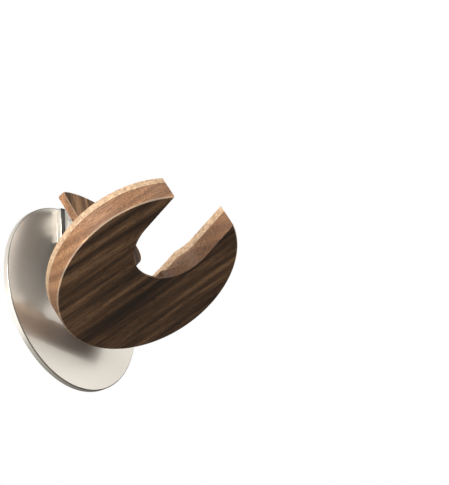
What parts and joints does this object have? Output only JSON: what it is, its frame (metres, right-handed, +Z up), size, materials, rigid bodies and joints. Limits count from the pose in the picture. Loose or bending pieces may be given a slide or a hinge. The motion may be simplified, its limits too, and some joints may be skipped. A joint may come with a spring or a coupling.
{
  "type": "wall guitar hanger",
  "caption": "Folding wall guitar hanger: a round steel wall plate, a hinged strut with a wooden tongue, and a round cork-backed wooden cradle with a U-shaped neck slot.",
  "frame": {"origin": "centre of the wall plate's back face, which lies on the wall", "axes": "+X to the right, +Y into the wall, +Z up; the room is on the -Y side"},
  "size_m": [0.108, 0.0997, 0.1102],
  "materials": {
    "plate_steel": "brushed",
    "bracket_steel": "satin",
    "dark_steel": "satin",
    "walnut": "oiled",
    "heel_wood": "oiled",
    "cork": "matte",
    "leather": "matte",
    "screw_brass": "satin",
    "bush_brass": "satin",
    "magnet_nickel": "polished",
    "rubber": "matte",
    "bumper_rubber": "satin"
  },
  "bodies": {
    "wall_side": {"wall_plate": "plate_steel", "hinge_bracket": "dark_steel", "bracket_screws": "dark_steel", "wall_pin": "bracket_steel", "wall_pin_clip": "bracket_steel"},
    "strut": {"strut_arm": "dark_steel", "tongue": "walnut", "tongue_screws": "screw_brass", "wall_bushes": "bush_brass", "fold_bushes": "bush_brass"},
    "cradle": {"cradle_face": "walnut", "cork_pad_left": "cork", "cork_pad_right": "cork", "heel_block": "heel_wood", "heel_pad": "leather", "fold_bracket_left": "bracket_steel", "fold_bracket_right": "bracket_steel", "fold_bracket_screws": "screw_brass", "fold_pin": "dark_steel", "stop_pad": "rubber", "magnets": "magnet_nickel", "bumpers": "bumper_rubber"}
  },
  "joints": [
    {"name": "strut_swing", "type": "hinge", "parent": "wall_side", "child": "strut", "pos_m": [0, -0.012, 0.0455], "axis": [1, 0, 0], "range_deg": [0, 28.8]},
    {"name": "cradle_fold", "type": "hinge", "parent": "strut", "child": "cradle", "pos_m": [0, -0.04341, -0.00479], "axis": [-1, 0, 0], "range_deg": [0, 88.8]}
  ],
  "couplings": [
    {"joint": "strut_swing", "follows": "cradle_fold", "ratio": 0.32432}
  ]
}
